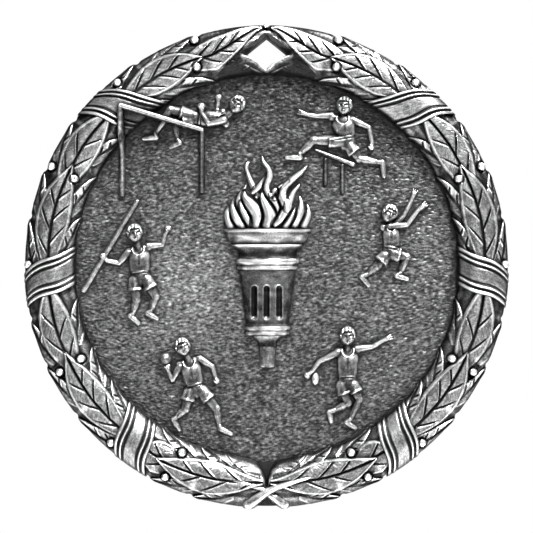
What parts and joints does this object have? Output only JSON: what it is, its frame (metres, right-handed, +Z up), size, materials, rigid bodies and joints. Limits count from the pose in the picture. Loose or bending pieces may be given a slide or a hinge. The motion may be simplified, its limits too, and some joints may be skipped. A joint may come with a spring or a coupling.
{
  "type": "medal",
  "caption": "Round cast sports medal with a laurel wreath border, a burning torch and athletes in relief, and a diamond-shaped ribbon hole at the top.",
  "frame": {"origin": "top corner of the diamond-shaped ribbon hole, where the ribbon or its ring bears, half-way through the disc's thickness", "axes": "+Z up, from the medal's centre to its ribbon hole; -Y out of the decorated face; +Y out of the plain back; +X to the right as the face is looked at"},
  "size_m": [0.0508, 0.0051, 0.0506],
  "materials": {
    "field_metal": "antiqued silver, dark, finely pebbled field; plain satin back",
    "leaf_metal": "antiqued silver, polished on the high leaf edges, near-black in the veins",
    "band_metal": "antiqued silver, smooth and lightly brushed, with dark lines beside the rolled edges",
    "torch_metal": "antiqued silver, bright on collars and flame crests, dark in the flutes",
    "athlete_metal": "antiqued silver, bright on limbs and faces, dark round the foot of each figure"
  },
  "bodies": {
    "root": {"backing_disc": "field_metal", "discus": "athlete_metal", "discus_thrower": "athlete_metal", "high_jump_crossbar": "athlete_metal", "high_jump_left_post": "athlete_metal", "high_jump_right_post": "athlete_metal", "high_jumper": "athlete_metal", "hurdle_left_post": "athlete_metal", "hurdle_rail": "athlete_metal", "hurdle_right_post": "athlete_metal", "hurdler": "athlete_metal", "javelin": "athlete_metal", "javelin_thrower": "athlete_metal", "left_leaf_tier_1": "leaf_metal", "left_leaf_tier_2": "leaf_metal", "left_leaf_tier_3": "leaf_metal", "left_leaf_tier_4": "leaf_metal", "left_leaf_tier_5": "leaf_metal", "left_leaf_tier_6": "leaf_metal", "left_leaf_tier_7": "leaf_metal", "left_leaf_tier_8": "leaf_metal", "left_ribbon_band_1": "band_metal", "left_ribbon_band_2": "band_metal", "left_ribbon_band_3": "band_metal", "left_stem": "leaf_metal", "long_jumper": "athlete_metal", "right_leaf_tier_1": "leaf_metal", "right_leaf_tier_2": "leaf_metal", "right_leaf_tier_3": "leaf_metal", "right_leaf_tier_4": "leaf_metal", "right_leaf_tier_5": "leaf_metal", "right_leaf_tier_6": "leaf_metal", "right_leaf_tier_7": "leaf_metal", "right_leaf_tier_8": "leaf_metal", "right_ribbon_band_1": "band_metal", "right_ribbon_band_2": "band_metal", "right_ribbon_band_3": "band_metal", "right_stem": "leaf_metal", "shot": "athlete_metal", "shot_putter": "athlete_metal", "torch_bowl": "torch_metal", "torch_flame": "torch_metal", "torch_fluted_body": "torch_metal", "torch_handle_cone": "torch_metal", "torch_handle_end": "torch_metal", "torch_lower_collar": "torch_metal", "torch_rim": "torch_metal", "torch_upper_collar": "torch_metal"}
  },
  "joints": []
}
